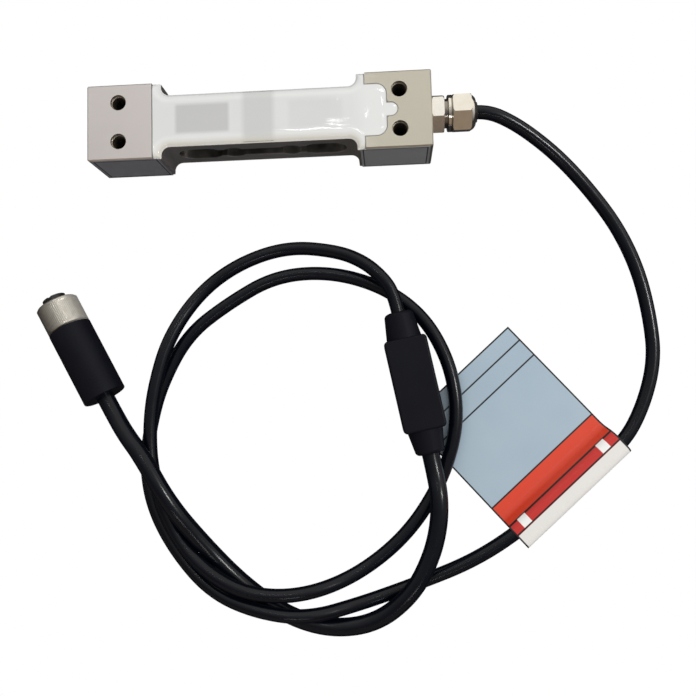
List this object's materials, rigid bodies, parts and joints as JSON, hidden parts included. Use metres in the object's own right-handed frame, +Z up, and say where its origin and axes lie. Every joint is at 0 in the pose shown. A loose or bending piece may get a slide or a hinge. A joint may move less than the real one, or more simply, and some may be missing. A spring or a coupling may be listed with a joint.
{
  "type": "strain gauge load cell",
  "caption": "Milled bending beam with a through window, white potting, cable gland, looped black cable with a folded flag label, inline converter and a round screw connector.",
  "frame": {"origin": "centre of the beam's underside", "axes": "+X along the beam towards the cable gland, +Y away from the side labels and the coiled cable, +Z up"},
  "size_m": [0.2386, 0.2096, 0.022],
  "materials": {
    "beam_metal": "fine milled, satin",
    "potting": "smooth white silicone, semi gloss",
    "gauge_film": "thin amber film",
    "gauge_cover": "soft grey pad",
    "circuit_board": "green solder mask",
    "chip_case": "moulded black",
    "wire_insulation": "smooth",
    "label_film": "silver foil film",
    "plated_brass": "bright nickel plating",
    "seal_rubber": "matt",
    "claw_plastic": "moulded",
    "cable_jacket": "smooth black jacket, semi gloss",
    "tag_film": "printed film, semi gloss",
    "moulded_black": "soft black moulding",
    "carrier_plastic": "hard black moulding",
    "contact_metal": "gold plating"
  },
  "bodies": {
    "load_cell": {"load_cell_body": "beam_metal", "top_potting": "potting", "bottom_potting": "potting", "top_strain_gauges": "gauge_film", "bottom_strain_gauges": "gauge_film", "top_gauge_covers": "gauge_cover", "bottom_gauge_covers": "gauge_cover", "bridge_board": "circuit_board", "bridge_resistors": "chip_case", "conductors": "wire_insulation", "gauge_wires": "wire_insulation", "left_side_label": "label_film", "right_side_label": "label_film", "gland_body": "plated_brass", "gland_cap_nut": "plated_brass", "gland_o_ring": "seal_rubber", "gland_claw": "claw_plastic", "gland_seal": "seal_rubber", "cable_stub": "cable_jacket", "sensor_cable": "cable_jacket", "connector_cable": "cable_jacket", "cable_tag": "tag_film", "inline_housing": "moulded_black", "converter_board": "circuit_board", "converter_chips": "chip_case", "connector_moulding": "moulded_black", "contact_carrier": "carrier_plastic", "contact_sockets": "contact_metal", "connector_o_ring": "seal_rubber"},
    "coupling_nut": {"coupling_nut": "plated_brass"}
  },
  "joints": [
    {"name": "coupling_nut_turn", "type": "hinge", "parent": "load_cell", "child": "coupling_nut", "pos_m": [-0.08012, -0.07125, 0.0082], "axis": [-0.4648, 0.8854, 0], "continuous": true}
  ]
}
